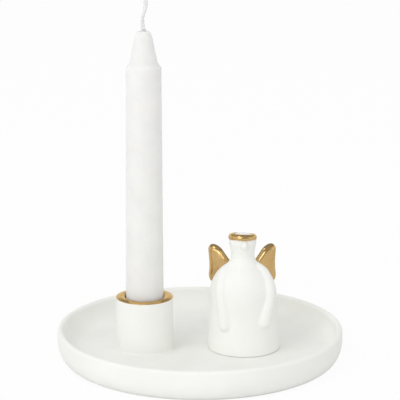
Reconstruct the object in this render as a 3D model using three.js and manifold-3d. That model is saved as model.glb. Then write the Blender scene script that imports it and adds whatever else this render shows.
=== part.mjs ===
// A round ceramic tray with a fixed candle cup and a loose angel figurine.
// Millimetres, +Z up. The origin is the centre of the tray's underside.
// The angel faces -Y, which is the front. +X is to the right of someone who looks at its face.

import * as THREE from 'three';
import { mergeVertices } from 'three/addons/utils/BufferGeometryUtils.js';
import Module from 'manifold-3d';

const wasm = await Module();
wasm.setup();

// Gap between two fired pieces that a film of slip joins.
const slipGap = 0.3;

// Tray
const trayRadius = 84.6;
const trayHeight = 18.2;
const trayWall = 3.6;
const trayFloorThickness = 3.9;
const trayCornerWidth = 7;
const trayCornerHeight = 12;
const trayInnerRadius = 9;
const footRingWidth = 5;
const footRingHeight = 1.8;
const footRingEase = 0.5;
const trayFloorTop = footRingHeight + trayFloorThickness;

// Candle, from its foot up
const candleFootDiameter = 22.8;
const candleShoulderDiameter = 20.8;
const candleStickLength = 158.4;
const candleConeLength = 21.2;
const candleShoulderStep = 2.2;
const candleShoulderRise = 2.8;
const candleFootEase = 0.6;
const candleConeFullness = 0.43;
const candleTipRadius = 4.3;
const candleTipRound = 2.6;
const candleTipFullness = 0.8;
const candleLength = candleStickLength + candleConeLength;

// Wick
const wickDiameter = 1.8;
const wickClearance = 0.3;
const wickFreeLength = 17.4;
const wickLean = 2;
const wickForward = 0.7;

// Candle cup, fixed to the tray's floor
const cupX = -32.8;
const cupY = -2;
const cupHeight = 30.9;
const cupWall = 5;
const cupEdgeEase = 0.5;
const socketClearance = 0.4;
const socketDepth = 22;
const socketFloorEase = 0.8;
const goldRimHeight = 0.7;
const goldRimEase = 0.5;
const socketRadius = candleFootDiameter / 2 + socketClearance;
const cupRadius = socketRadius + cupWall;

// Angel's robe, a hollow cone with domed shoulders, heights from the tray's floor
const angelX = 26.1;
const angelY = -1.8;
const robeFootRadius = 21.4;
const robeShoulderRadius = 19.7;
const robeShoulderHeight = 33;
const shoulderRise = 20.4;
const robeWall = 3;
const robeFootEase = 0.4;
const collarWidth = 2.2;

// Angel's neck and head, and how far the whole figure leans sideways at its crown
const neckRadius = 6.8;
const neckRise = 1.8;
const cheekRadius = 8.15;
const cheekRise = 9;
const crownRise = 5.45;
const crownRound = 1;
const figureLean = -1.15;
const neckHeight = robeShoulderHeight + shoulderRise + neckRise;
const cheekHeight = neckHeight + cheekRise;
const crownHeight = cheekHeight + crownRise;

// Halo, a bead in a seat round the crown, its front a little raised
const haloHalfWidth = 1.95;
const haloHalfHeight = 2;
const haloOverhang = 0.2;
const haloRise = 3.5;
const haloTilt = 9;
const haloRadius = cheekRadius + haloOverhang - haloHalfWidth;

// Nose, an egg sunk into the face
const noseHalfWidth = 2.3;
const noseHalfHeight = 2.95;
const noseHalfDepth = 2.7;
const noseSink = 0.5;
const noseDrop = 0.4;
const noseSide = 0.8;

// Arms, laid on the robe. Each has six stations from the shoulder to the hand: its angle from
// the front, its height as a share of the neck's, and how deep the arm's middle lies in the robe
// as a share of the arm's radius. The arm on the viewer's left hangs more to the front.
const armRadius = 4.2;
const handRadius = 4.3;
const rightArmAngles = [78, 67, 58, 50.5, 41, 31.8];
const leftArmAngles = [72, 58, 47, 41, 36.8, 34];
const armHeightShares = [0.897, 0.822, 0.708, 0.562, 0.422, 0.254];
const armSinkShares = [0.905, 0.667, 0.476, 0.42, 0.42, 0.4];

// How far the hand on the viewer's right is lifted, and the other one lowered
const handLift = 1;

// Wings, round-edged slabs that grow out of the back of the shoulders
const wingThickness = 3.4;
const wingEdge = 1.5;
const wingSweep = 15;
const wingSetback = 10;
const wingReach = 1.6;
const wingRootInset = 4;
const wingRise = 4.3;
const wingDrop = 19.3;
const wingCup = 1.1;

// The wing's outline as shares of its width and height: where it starts, then for each curve
// the point that pulls it and the point where it ends.
const wingStartShare = [0, 0.3];
const wingCurveShares = [
  [[0.34, 0.6], [0.6, 0.885]],
  [[0.74, 0.995], [0.88, 1]],
  [[0.985, 1], [0.998, 0.9]],
  [[0.91, 0.445], [0.994, 0.15]],
  [[1.005, 0.03], [0.955, 0]],
  [[0.8, 0.14], [0, 0.24]],
];

const whiteCeramic = new THREE.MeshStandardMaterial({ color: 0xf3f2ee, roughness: 0.55, metalness: 0 });
const goldLustre = new THREE.MeshStandardMaterial({ color: 0xc79a4c, roughness: 0.28, metalness: 0.9 });
const wax = new THREE.MeshStandardMaterial({ color: 0xf1efea, roughness: 0.45, metalness: 0 });
const cotton = new THREE.MeshStandardMaterial({ color: 0xf2f0ea, roughness: 0.9, metalness: 0 });

const quarterTurn = Math.PI / 2;
const degrees = THREE.MathUtils.degToRad;

function piece(name, geometry, material) {
  const mesh = new THREE.Mesh(geometry, material);
  mesh.name = name;
  return mesh;
}

// Turns an outline of radius and height about the Z axis.
function revolve(outline, sides, arcSteps) {
  return new THREE.LatheGeometry(outline.getPoints(arcSteps), sides).rotateX(quarterTurn);
}

// The same surface with shared corners and nothing but positions.
function welded(geometry) {
  const bare = geometry.clone();
  bare.deleteAttribute('normal');
  bare.deleteAttribute('uv');
  return mergeVertices(bare);
}

function toSolid(geometry) {
  const shell = welded(geometry);
  const corners = shell.index.array;
  const triangles = [];
  for (let i = 0; i < corners.length; i += 3) {
    const [a, b, c] = corners.slice(i, i + 3);
    if (a !== b && b !== c && c !== a) triangles.push(a, b, c);
  }
  const vertProperties = new Float32Array(shell.attributes.position.array);
  const triVerts = new Uint32Array(triangles);
  return new wasm.Manifold(new wasm.Mesh({ numProp: 3, vertProperties, triVerts }));
}

function toGeometry(solid) {
  const { vertProperties, triVerts } = solid.getMesh();
  const geometry = new THREE.BufferGeometry();
  geometry.setAttribute('position', new THREE.BufferAttribute(vertProperties, 3));
  geometry.setIndex(new THREE.BufferAttribute(triVerts, 1));
  return geometry;
}

// Mirrors a geometry left to right and turns its faces outwards again.
function mirrored(geometry) {
  const other = welded(geometry).scale(-1, 1, 1);
  const corners = other.index.array;
  for (let i = 0; i < corners.length; i += 3) {
    [corners[i], corners[i + 1]] = [corners[i + 1], corners[i]];
  }
  return other;
}

// The tray: a flat floor on a foot ring, and a wall that curves up from the foot to a round lip.
function trayGeometry() {
  const lip = trayWall / 2;
  const lipHeight = trayHeight - lip;
  const footOuter = trayRadius - trayCornerWidth;
  const footInner = footOuter - footRingWidth;
  const soft = Math.min(trayInnerRadius, lipHeight - trayFloorTop);
  const softHeight = trayFloorTop + soft;
  const outline = new THREE.Path();
  outline.moveTo(0, footRingHeight);
  outline.lineTo(footInner - footRingEase, footRingHeight);
  outline.lineTo(footInner, 0);
  outline.lineTo(footOuter, 0);
  outline.absellipse(footOuter, trayCornerHeight, trayCornerWidth, trayCornerHeight, -quarterTurn, 0, false, 0);
  outline.lineTo(trayRadius, lipHeight);
  outline.absarc(trayRadius - lip, lipHeight, lip, 0, 2 * quarterTurn, false);
  outline.lineTo(trayRadius - trayWall, softHeight);
  outline.absarc(trayRadius - trayWall - soft, softHeight, soft, 0, -quarterTurn, true);
  outline.lineTo(0, trayFloorTop);
  return revolve(outline, 68, 3);
}

// The cup: a plain cylinder with the candle's socket in its top.
function cupGeometry() {
  const top = cupHeight - goldRimHeight;
  const socketFloor = cupHeight - socketDepth;
  const outline = new THREE.Path();
  outline.moveTo(0, 0);
  outline.lineTo(cupRadius - cupEdgeEase, 0);
  outline.lineTo(cupRadius, cupEdgeEase);
  outline.lineTo(cupRadius, top);
  outline.lineTo(socketRadius, top);
  outline.lineTo(socketRadius, socketFloor + socketFloorEase);
  outline.lineTo(socketRadius - socketFloorEase, socketFloor);
  outline.lineTo(0, socketFloor);
  return revolve(outline, 48, 1);
}

// The gilded lip: it covers the cup's top, with both of its edges rounded.
function goldRimGeometry() {
  const flat = goldRimHeight - goldRimEase;
  const outline = new THREE.Path();
  outline.moveTo(socketRadius, 0);
  outline.lineTo(cupRadius, 0);
  outline.lineTo(cupRadius, flat);
  outline.absarc(cupRadius - goldRimEase, flat, goldRimEase, 0, quarterTurn, false);
  outline.lineTo(socketRadius + goldRimEase, goldRimHeight);
  outline.absarc(socketRadius + goldRimEase, flat, goldRimEase, quarterTurn, 2 * quarterTurn, false);
  outline.lineTo(socketRadius, 0);
  return revolve(outline, 48, 2);
}

// The candle: a slightly tapered stick with a stepped shoulder, a domed cone and a bore for the wick.
function candleGeometry() {
  const foot = candleFootDiameter / 2;
  const shoulder = candleShoulderDiameter / 2;
  const bore = wickDiameter / 2 + wickClearance;
  const coneRadius = shoulder - candleShoulderStep;
  const coneStart = candleStickLength + candleShoulderRise;
  const tipStart = candleLength - candleTipRound;
  const outline = new THREE.Path();
  outline.moveTo(bore, 0);
  outline.lineTo(foot - candleFootEase, 0);
  outline.lineTo(foot, candleFootEase);
  outline.lineTo(shoulder, candleStickLength);
  outline.quadraticCurveTo(shoulder, coneStart - candleShoulderStep / 2, coneRadius, coneStart);
  const straight = (coneRadius + candleTipRadius) / 2;
  const pull = THREE.MathUtils.lerp(straight, coneRadius, candleConeFullness);
  outline.quadraticCurveTo(pull, (coneStart + tipStart) / 2, candleTipRadius, tipStart);
  outline.quadraticCurveTo(candleTipRadius * candleTipFullness, candleLength, bore, candleLength);
  outline.lineTo(bore, 0);
  return revolve(outline, 40, 5);
}

// The wick runs through the whole candle and leans over above it.
function wickGeometry() {
  const exit = new THREE.Vector3(0, 0, candleLength + wickClearance);
  const end = new THREE.Vector3(wickLean, -wickForward, candleLength + wickFreeLength);
  const half = (exit.z + end.z) / 2;
  const path = new THREE.CurvePath();
  path.add(new THREE.LineCurve3(new THREE.Vector3(0, 0, 0), exit));
  path.add(new THREE.CubicBezierCurve3(exit, exit.clone().setZ(half), end.clone().setZ(half), end));
  const section = new THREE.Shape();
  section.absarc(0, 0, wickDiameter / 2, 0, 4 * quarterTurn, false);
  const run = { extrudePath: path, steps: 36, curveSegments: 4, bevelEnabled: false };
  return new THREE.ExtrudeGeometry(section, run);
}

// The figure's outside, from the axis to the axis. The margin grows it for what is seated on it.
function figureOutline(margin) {
  const foot = robeFootRadius + margin;
  const dome = robeShoulderRadius + margin;
  const rise = shoulderRise + margin;
  const collar = Math.acos((neckRadius + collarWidth) / robeShoulderRadius);
  const collarEdge = new THREE.Vector2(dome * Math.cos(collar), robeShoulderHeight + rise * Math.sin(collar));
  const neck = new THREE.Vector2(neckRadius + margin, neckHeight);
  const cheek = new THREE.Vector2(cheekRadius + margin, cheekHeight);
  const crown = crownHeight + margin;
  const outline = new THREE.Path();
  outline.moveTo(0, 0);
  outline.lineTo(foot - robeFootEase, 0);
  outline.lineTo(foot, robeFootEase);
  outline.lineTo(dome, robeShoulderHeight);
  outline.absellipse(0, robeShoulderHeight, dome, rise, 0, collar, false, 0);
  outline.quadraticCurveTo((collarEdge.x + neck.x) / 2, (collarEdge.y + neck.y) / 2, neck.x, neck.y);
  outline.quadraticCurveTo(neck.x, (neck.y + cheek.y) / 2, cheek.x, cheek.y);
  outline.bezierCurveTo(cheek.x, crown - crownRound, cheek.x / 2, crown, 0, crown);
  return outline;
}

// The hollow inside the robe, open at the foot.
function robeHollowOutline() {
  const outline = new THREE.Path();
  outline.moveTo(0, -slipGap);
  outline.lineTo(robeFootRadius - robeWall, -slipGap);
  outline.lineTo(robeShoulderRadius - robeWall, robeShoulderHeight);
  const rise = shoulderRise - 2 * robeWall;
  outline.absellipse(0, robeShoulderHeight, robeShoulderRadius - robeWall, rise, 0, quarterTurn, false, 0);
  return outline;
}

// The halo's bead. The margin grows it into the seat that it lies in.
function haloGeometry(margin) {
  const outline = new THREE.Path();
  outline.absellipse(haloRadius, 0, haloHalfWidth + margin, haloHalfHeight + margin, 0, 4 * quarterTurn, false, 0);
  const ring = revolve(outline, 36, 6);
  return ring.rotateX(-degrees(haloTilt)).translate(0, 0, cheekHeight + haloRise);
}

function noseGeometry() {
  const nose = new THREE.SphereGeometry(1, 16, 10).rotateX(quarterTurn);
  nose.scale(noseHalfWidth, noseHalfDepth, noseHalfHeight);
  return nose.translate(noseSide, noseSink - cheekRadius, cheekHeight - noseDrop);
}

function robeRadiusAt(height) {
  if (height < robeShoulderHeight) {
    return THREE.MathUtils.lerp(robeFootRadius, robeShoulderRadius, height / robeShoulderHeight);
  }
  const rise = (height - robeShoulderHeight) / shoulderRise;
  return robeShoulderRadius * Math.sqrt(1 - rise * rise);
}

// A limb along a curve, from rings whose radius shrinks to a round end at both ends.
function limbGeometry(curve, startRadius, endRadius, sides, rings) {
  const frames = curve.computeFrenetFrames(rings, false);
  const length = curve.getLength();
  const positions = [];
  const corners = [];
  for (let i = 0; i <= rings; i += 1) {
    const radius = THREE.MathUtils.lerp(startRadius, endRadius, i / rings);
    const inset = 1 - Math.min(1, Math.min(i, rings - i) * length / rings / radius);
    const ringRadius = radius * Math.sqrt(1 - inset * inset);
    for (let j = 0; j < sides; j += 1) {
      const angle = j / sides * 4 * quarterTurn;
      const point = curve.getPointAt(i / rings);
      point.addScaledVector(frames.normals[i], Math.cos(angle) * ringRadius);
      point.addScaledVector(frames.binormals[i], Math.sin(angle) * ringRadius);
      positions.push(...point);
      const [a, b] = [i * sides + j, i * sides + (j + 1) % sides];
      if (i < rings) corners.push(a, b, b + sides, a, b + sides, a + sides);
    }
  }
  const geometry = new THREE.BufferGeometry();
  geometry.setAttribute('position', new THREE.Float32BufferAttribute(positions, 3));
  geometry.setIndex(corners);
  return geometry;
}

// An arm, on the viewer's right where the side is 1 and on the left where it is -1.
function armGeometry(side, angles) {
  const points = angles.map((angle, i) => {
    const along = side * i / (angles.length - 1);
    const height = neckHeight * armHeightShares[i] + handLift * along;
    const radius = robeRadiusAt(height) - armRadius * armSinkShares[i];
    const turn = degrees(angle);
    return new THREE.Vector3(side * radius * Math.sin(turn), -radius * Math.cos(turn), height);
  });
  return limbGeometry(new THREE.CatmullRomCurve3(points), armRadius, handRadius, 10, 24);
}

// A wing's outline: x outwards from the spine, y up, less the round edge that is added all round.
function wingOutline() {
  const width = robeShoulderRadius + wingReach - wingEdge - wingRootInset;
  const tip = neckHeight - wingDrop + wingEdge;
  const height = wingRise + wingDrop - 2 * wingEdge;
  const place = ([across, up]) => new THREE.Vector2(wingRootInset + across * width, tip + up * height);
  const outline = new THREE.Shape();
  let from = place(wingStartShare);
  for (const [pull, end] of wingCurveShares) {
    outline.curves.push(new THREE.QuadraticBezierCurve(from, place(pull), place(end)));
    from = place(end);
  }
  return outline;
}

// The wing on the right of someone who looks at the face: swept back and a little cupped.
function wingGeometry() {
  const flat = wingThickness - 2 * wingEdge;
  const middle = (robeShoulderRadius + wingReach) / 2;
  const slab = { depth: flat, curveSegments: 5, bevelThickness: wingEdge, bevelSize: wingEdge, bevelSegments: 3 };
  const wing = new THREE.ExtrudeGeometry(wingOutline(), slab);
  wing.translate(0, 0, -flat / 2).rotateX(quarterTurn);
  const position = wing.attributes.position;
  for (let i = 0; i < position.count; i += 1) {
    const across = position.getX(i) / middle - 1;
    position.setY(i, position.getY(i) + wingCup * across * across);
  }
  return wing.rotateZ(degrees(wingSweep)).translate(0, wingSetback, 0);
}

function candleCup() {
  const cup = new THREE.Group();
  cup.position.set(cupX, cupY, trayFloorTop);
  cup.add(piece('candle_cup', cupGeometry(), whiteCeramic));
  const rim = piece('cup_gold_rim', goldRimGeometry(), goldLustre);
  rim.position.z = cupHeight - goldRimHeight;
  cup.add(rim);
  return cup;
}

function candle() {
  const stick = new THREE.Group();
  stick.position.set(cupX, cupY, trayFloorTop + cupHeight - socketDepth);
  stick.add(piece('candle_wax', candleGeometry(), wax));
  stick.add(piece('candle_wick', wickGeometry(), cotton));
  return stick;
}

function angel() {
  const figure = toSolid(revolve(figureOutline(0), 48, 5));
  const figureSeat = toSolid(revolve(figureOutline(slipGap), 48, 5));
  const haloSeat = toSolid(haloGeometry(slipGap));
  const hollow = toSolid(revolve(robeHollowOutline(), 40, 4));
  const body = figure.subtract(haloSeat).subtract(hollow);
  const nose = toSolid(noseGeometry()).subtract(figureSeat).subtract(haloSeat);
  const armRight = toSolid(armGeometry(1, rightArmAngles)).subtract(figureSeat);
  const armLeft = toSolid(armGeometry(-1, leftArmAngles)).subtract(figureSeat);
  const wing = toGeometry(toSolid(wingGeometry()).subtract(figureSeat));

  const angelFigure = new THREE.Group();
  angelFigure.position.set(angelX, angelY, trayFloorTop);
  angelFigure.add(piece('angel_body', toGeometry(body), whiteCeramic));
  angelFigure.add(piece('angel_nose', toGeometry(nose), whiteCeramic));
  angelFigure.add(piece('halo_ring', haloGeometry(0), goldLustre));
  angelFigure.add(piece('arm_right', toGeometry(armRight), whiteCeramic));
  angelFigure.add(piece('arm_left', toGeometry(armLeft), whiteCeramic));
  angelFigure.add(piece('wing_right', wing, goldLustre));
  angelFigure.add(piece('wing_left', mirrored(wing), goldLustre));
  const lean = new THREE.Matrix4().makeShear(0, 0, 0, 0, figureLean / crownHeight, 0);
  angelFigure.children.forEach((part) => part.geometry.applyMatrix4(lean));
  return angelFigure;
}

const angelCandleHolder = new THREE.Group();
angelCandleHolder.add(piece('tray', trayGeometry(), whiteCeramic));
angelCandleHolder.add(candleCup(), candle(), angel());

export default angelCandleHolder;
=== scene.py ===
"""The looks of a candle holder: a white ceramic tray with a gilded candle cup and a loose angel.

Metres, +Z up. The angel looks along -Y, and the camera stands in front of it.
"""

import math

import bmesh
import bpy
import numpy as np
from mathutils import Matrix, Vector


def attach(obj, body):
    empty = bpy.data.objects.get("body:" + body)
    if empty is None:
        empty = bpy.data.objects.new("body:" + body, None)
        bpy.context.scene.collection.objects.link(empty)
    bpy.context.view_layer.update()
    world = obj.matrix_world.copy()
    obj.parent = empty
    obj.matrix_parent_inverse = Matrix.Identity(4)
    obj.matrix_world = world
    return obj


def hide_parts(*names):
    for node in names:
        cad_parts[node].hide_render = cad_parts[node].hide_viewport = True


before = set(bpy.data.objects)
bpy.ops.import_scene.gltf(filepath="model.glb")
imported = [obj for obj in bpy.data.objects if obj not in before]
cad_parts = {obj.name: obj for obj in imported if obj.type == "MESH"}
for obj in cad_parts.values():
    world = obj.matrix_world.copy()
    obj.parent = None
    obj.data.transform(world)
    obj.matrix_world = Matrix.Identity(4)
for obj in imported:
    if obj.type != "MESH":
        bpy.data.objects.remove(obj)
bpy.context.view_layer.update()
MM = 0.001

# Sizes are in millimetres and angles in degrees unless a comment says otherwise.

# The tray
TRAY_RADIUS = 84.6
TRAY_HEIGHT = 18.2
TRAY_WALL = 3.6
TRAY_FLOOR = 3.9
TRAY_CORNER_WIDTH = 7.0
TRAY_CORNER_HEIGHT = 12.0
TRAY_INNER_CORNER = 9.0
TRAY_LIP_SHARE = 0.499
TRAY_CORNER_POINTS = 15
FOOT_RING_WIDTH = 5.0
FOOT_RING_HEIGHT = 1.8
FOOT_RING_SLOPE = 0.4
FOOT_RING_ROUNDS = (0.5, 0.4)
FLOOR_TOP = FOOT_RING_HEIGHT + TRAY_FLOOR

# The candle and its wick, from the candle's foot up. The candle leans sideways by a share of its
# height, and the braid's first turn is in radians.
CANDLE_FOOT = 11.25
CANDLE_SHOULDER = 10.15
CANDLE_STICK = 158.4
CANDLE_LENGTH = 179.6
CANDLE_STEP = 2.2
CANDLE_STEP_RISE = 2.8
CANDLE_TIP = 4.3
CANDLE_FOOT_ROUND = 0.6
CANDLE_SHIFT = 0.07
CANDLE_LEAN = 0.0029
WICK_BORE = 1.2
WICK_TOP = 197.0
WICK_BEND = (186.0, 194.5)
WICK_LEAN = (1.9, -0.7)
WICK_SWAY = -0.6
WICK_SWAY_SPAN = (-1.0, 4.5)
BRAID_WIDTH = 0.56
BRAID_DEPTH = 0.26
BRAID_LENGTH = 6.4
BRAID_TURN_LENGTH = 27.0
BRAID_FIRST_TURN = 0.9
STRAND_RADIUS = 0.68

# Corners of the candle's head as (outwards, upwards, rounding), each from a place that stick()
# works out: the end of the straight stick, the foot of the cone, the tip's edge, and the bore's
# edge, from which wax is drawn up the wick.
SHOULDER_CORNER = (0.0, 0.5, 1.4)
CONE_CORNERS = ((0.1, 0.2, 1.6), (-1.4, 7.6, 30.0))
TIP_CORNER = (0.7, -3.4, 7.0)
TIP_TOP_SHARE = 0.86
TIP_TOP_CORNER = (0.0, -0.15, 1.7)
COLLAR_CORNERS = (
    (0.75, 0.05, 0.9), (0.05, 1.1, 0.2), (-0.25, 1.2, 0.1), (-0.25, -1.0, 0.0), (0.0, -2.5, 0.0),
)

# The candle cup and its gilded lip
CUP_PLACE = (-32.8, -2.0)
CUP_HEIGHT = 31.9
CUP_RADIUS = 16.8
SOCKET_RADIUS = 11.8
CUP_EDGE = 0.05
SOCKET_DEPTH = 23.0
SOCKET_FLOOR_ROUND = 0.9
LIP_HEIGHT = 0.95
LIP_ROUND = 0.3
LIP_CREST = 2.0
LIP_CREST_ROUND = 5.0
LIP_SHARES = (0.36, 0.5)

# The gold: how far it stands proud of the cup outside and inside, how thick its film in the
# socket is, how far it laps over the white edge, and how deep the film runs
GOLD_PROUD = (0.04, 0.05)
GOLD_FILM = 0.12
GOLD_LAP = 0.1
GOLD_DEPTH = 2.4

# The bead of slip round the cup's foot, as (reach outside the cup, height, rounding)
SLIP_BEAD = ((0.45, 0.0, 0.0), (0.3, 0.16, 0.1), (-0.02, 0.55, 0.5))

# The angel. Heights are from the tray's floor, and its profile's softness is counted in steps.
FIGURE_ROWS = 300
FIGURE_COLUMNS = 256
ANGEL_PLACE = (26.1, -1.8)
ROBE_FOOT = 21.4
ROBE_SHOULDER = 19.7
SHOULDER_HEIGHT = 33.0
SHOULDER_RISE = 20.4
ROBE_WALL = 3.0
COLLAR_RADIUS = 9.0
FOOT_ROUND = 0.9
FOOT_FACE_INSET = 0.2
FOOT_INNER_EDGE = 0.5
CROWN_ROUND = 1.0
PROFILE_STEP = 0.1
PROFILE_SOFTNESS = 8
NECK_RADIUS = 6.8
NECK_HEIGHT = 55.2
CHEEK_RADIUS = 8.15
CHEEK_HEIGHT = 64.2
CROWN_HEIGHT = 69.65
LEAN = -1.15
NOSE_SIZE = (2.3, 2.7, 2.95)
NOSE_DEPTH = 7.65
NOSE_HEIGHT = 63.8
NOSE_SIDE = 0.8

# The halo. Its section has one power above and one below, where two is round, and changes from one
# to the other over a band at its middle. Its wander is a share of its height.
HALO_RADIUS = 6.4
HALO_HEIGHT = 67.25
HALO_HALF_WIDTH = 1.95
HALO_UPPER = 2.5
HALO_LOWER = 1.5
HALO_SQUARENESS = (2.0, 3.2)
HALO_EQUATOR = 0.02
HALO_TILT = 12.0
HALO_WANDER = 0.03

# The arms. Each station from the shoulder to the hand has an angle from the front by side, a
# height as a share of the neck's, and a depth under the robe as a share of the arm's radius. One
# hand is raised and the other lowered, and the arm is thinner over a first share of its length.
ARM_RADIUS = 4.2
HAND_RADIUS = 4.3
ARM_ANGLES = {1: (78, 67, 58, 50.5, 41, 31.8), -1: (72, 58, 47, 41, 36.8, 34)}
ARM_HEIGHTS = (0.897, 0.822, 0.708, 0.562, 0.422, 0.254)
ARM_SINKS = (0.905, 0.667, 0.476, 0.42, 0.41, 0.38)
HAND_LIFT = 1.0
ARM_FADE = 0.9
ARM_FADE_SHARE = 0.22
ARM_POINTS = 40

# Where the skin is drawn out over the arms and the nose: how far back and between which heights,
# from how far out, in how many steps, which share of the gap each step takes, and how widely the
# creases at the arms and the nose are filled
GROWTH_BACK = 4.0
GROWTH_HEIGHTS = (8.0, 69.0)
GROWTH_REACH = 4.5
GROWTH_STEPS = 26
GROWTH_GAIN = 0.85
ARM_CREASE = 0.5
NOSE_CREASE = 0.35

# The wings. How soft the rim and the face are is counted in points along the rim.
WING_FRONT = 2.0
WING_BACK = 1.3
WING_PILLOW = 3.0
WING_EDGE = 1.5
WING_SWEEP = 15.0
WING_SETBACK = 10.0
WING_REACH = 1.6
WING_ROOT_INSET = 4.0
WING_RISE = 4.3
WING_DROP = 19.3
WING_CUP = 1.1
WING_UPRIGHT_CUP = 0.8
WING_SLIP = {1: 0.0, -1: -0.35}
WING_MIDDLE = (15.5, 50.5)
WING_RIM_POINTS = 240
WING_RIM_SOFTNESS = 4.0
WING_RIM_BAND = 0.9
WING_ROWS = 40
WING_ROW_POWER = 2.2
WING_POLE_SHARE = 0.004
WING_FACE_SOFTNESS = 5.0

# Where the halo swells or sinks: at how many degrees round it, how narrowly, and how far
HALO_SWELLINGS = {
    "Run": (-72.0, 9.0, 0.55),
    "Dip": (-88.0, 3.0, 0.8),
    "Slope": (8.0, 3.0, 0.4),
    "Lap": (-97.0, 50.0, 0.22),
}

# The halo's height wanders in two waves: how many go round, and at how many radians each starts
HALO_WAVES = ((3.0, 0.9), (5.0, 2.2))
HALO_QUICK_SHARE = 0.6

# The wing's outline as shares of its width and height: where it starts, then for each curve
# the point that it bends towards and the point where it ends.
WING_START = (0, 0.3)
WING_CURVES = (
    ((0.34, 0.6), (0.6, 0.885)),
    ((0.74, 0.995), (0.88, 1)),
    ((0.985, 1), (0.998, 0.9)),
    ((0.91, 0.445), (0.985, 0.17)),
    ((0.992, 0.045), (0.945, 0)),
    ((0.8, 0.14), (0, 0.24)),
)

# Colours, dark and light where there are two
BISQUE_COLOURS = ((0.866, 0.870, 0.834), (0.900, 0.904, 0.870))
# The pits' darker colour is painted shade in them
PIT_SHADE_COLOUR = (0.70, 0.68, 0.65)
# Raw porcelain, darker: partly its own tone, partly painted shade at the foot and inside
RAW_AND_SHADE_COLOUR = (0.80, 0.785, 0.755)
GOLD_COLOURS = ((0.565, 0.370, 0.145), (0.69, 0.470, 0.208))
GOLD_TINT = (0.93, 0.84, 0.65)
# The gold's darker rim colour is partly lustre burnt thin and partly a painted dark reflection
GOLD_RIM_AND_SHADE_COLOUR = (0.36, 0.265, 0.155)
GOLD_SPECK_COLOUR = (0.24, 0.135, 0.045)
WAX_COLOURS = ((0.80, 0.80, 0.785), (0.84, 0.84, 0.825))
FROST_COLOUR = (0.93, 0.925, 0.915)
COTTON_COLOURS = ((0.72, 0.72, 0.715), (0.86, 0.86, 0.85))

# Below which heights the tray and the angel are left raw and darker, partly raw porcelain and partly painted
# shade at the foot, and how soft and uneven that edge is
TRAY_RAW_AND_SHADE_BELOW = 0.9
ANGEL_RAW_AND_SHADE_BELOW = FLOOR_TOP + 0.1
RAW_AND_SHADE_EDGE = 0.3
RAW_AND_SHADE_WANDER = 0.6

# The studio, in metres. A lamp has its place, its panel's width and height, and its power in watts.
CAMERA_LENS = 144.0
CAMERA_PLACE = (0.0, -0.91198, 0.30631)
CAMERA_DOWN = 13.05
LAMP_TARGET = (0.0, 0.0, 0.04)
LAMPS = {
    "key": ((-1.2, -1.2, 1.74), (1.0, 1.0), 8.6),
    "front": ((-0.12, -2.25, 0.86), (1.0, 0.36), 3.8),
    "low": ((-1.19, -2.06, 0.37), (1.4, 0.36), 4.0),
}

# The room: how brightly it lights matt surfaces. Glossy ones see it white, but dimmer towards
# the front right and above: towards where, over which spans, and by how much.
ROOM_FILL = 0.838
ROOM_TOWARD = (0.35, -0.93)
ROOM_DIM_SPAN = (0.72, 0.95)
ROOM_DIM_ABOVE = (0.28, 0.50)
ROOM_DIMNESS = 0.64

# The ground
GROUND_REACH = 3.0
GROUND_LEVEL = -0.00005
GROUND_SHADE = 0.88
GROUND_GLOW = 0.93

OBJECT_COORDINATES = 3


# Node graphs
class Wire:
    """One output socket of a node graph. Arithmetic on it adds Math nodes."""

    def __init__(self, graph, socket):
        self.graph = graph
        self.socket = socket

    def _with(self, operation, *others):
        values = {i: other for i, other in enumerate((self, *others))}
        return self.graph.node("ShaderNodeMath", {"operation": operation}, values)

    def __add__(self, other):
        return self._with("ADD", other)

    def __radd__(self, other):
        return self._with("ADD", other)

    def __sub__(self, other):
        return self._with("SUBTRACT", other)

    def __rsub__(self, other):
        return self.graph.math("SUBTRACT", other, self)

    def __mul__(self, other):
        return self._with("MULTIPLY", other)

    def __rmul__(self, other):
        return self._with("MULTIPLY", other)

    def __truediv__(self, other):
        return self._with("DIVIDE", other)

    def __rtruediv__(self, other):
        return self.graph.math("DIVIDE", other, self)

    def __pow__(self, other):
        return self._with("POWER", other)


class Graph:
    """A shader or geometry node tree while it is being wired."""

    def __init__(self, tree):
        self.tree = tree

    def node(self, kind, settings=None, sockets=None, output=0):
        """Adds a node, makes its settings, then fills or links its sockets."""
        made = self.tree.nodes.new(kind)
        for name, value in (settings or {}).items():
            if name == "items":
                while len(made.index_switch_items) < value:
                    made.index_switch_items.new()
            else:
                setattr(made, name, value)
        for key, value in (sockets or {}).items():
            if isinstance(value, Wire):
                self.tree.links.new(value.socket, made.inputs[key])
            elif value is not None:
                made.inputs[key].default_value = value
        return Wire(self, made.outputs[output]) if made.outputs else made

    def math(self, operation, *values):
        """One Math node."""
        return self.node("ShaderNodeMath", {"operation": operation}, dict(enumerate(values)))

    def mix(self, factor, first, second):
        """A colour between two colours."""
        colours = [c if isinstance(c, Wire) else (*c, 1.0) for c in (first, second)]
        sockets = {"Factor": factor, 6: colours[0], 7: colours[1]}
        return self.node("ShaderNodeMix", {"data_type": "RGBA"}, sockets, 2)

    def vector(self, x=0.0, y=0.0, z=0.0):
        """A vector from its parts."""
        return self.node("ShaderNodeCombineXYZ", None, {"X": x, "Y": y, "Z": z})

    def spread(self, value, low, high, to_low=0.0, to_high=1.0, smooth=False):
        """Maps a range of a value onto another range, with both ends held."""
        settings = {"interpolation_type": "SMOOTHSTEP" if smooth else "LINEAR", "clamp": True}
        sockets = {"Value": value, 1: low, 2: high, 3: to_low, 4: to_high}
        return self.node("ShaderNodeMapRange", settings, sockets)


def object_place(graph, stretch=(1.0, 1.0, 1.0)):
    """The place on the object in metres, stretched for a pattern with a grain."""
    place = graph.node("ShaderNodeTexCoord", None, None, OBJECT_COORDINATES)
    if stretch == (1.0, 1.0, 1.0):
        return place
    return graph.node("ShaderNodeMapping", None, {"Vector": place, "Scale": stretch})


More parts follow.
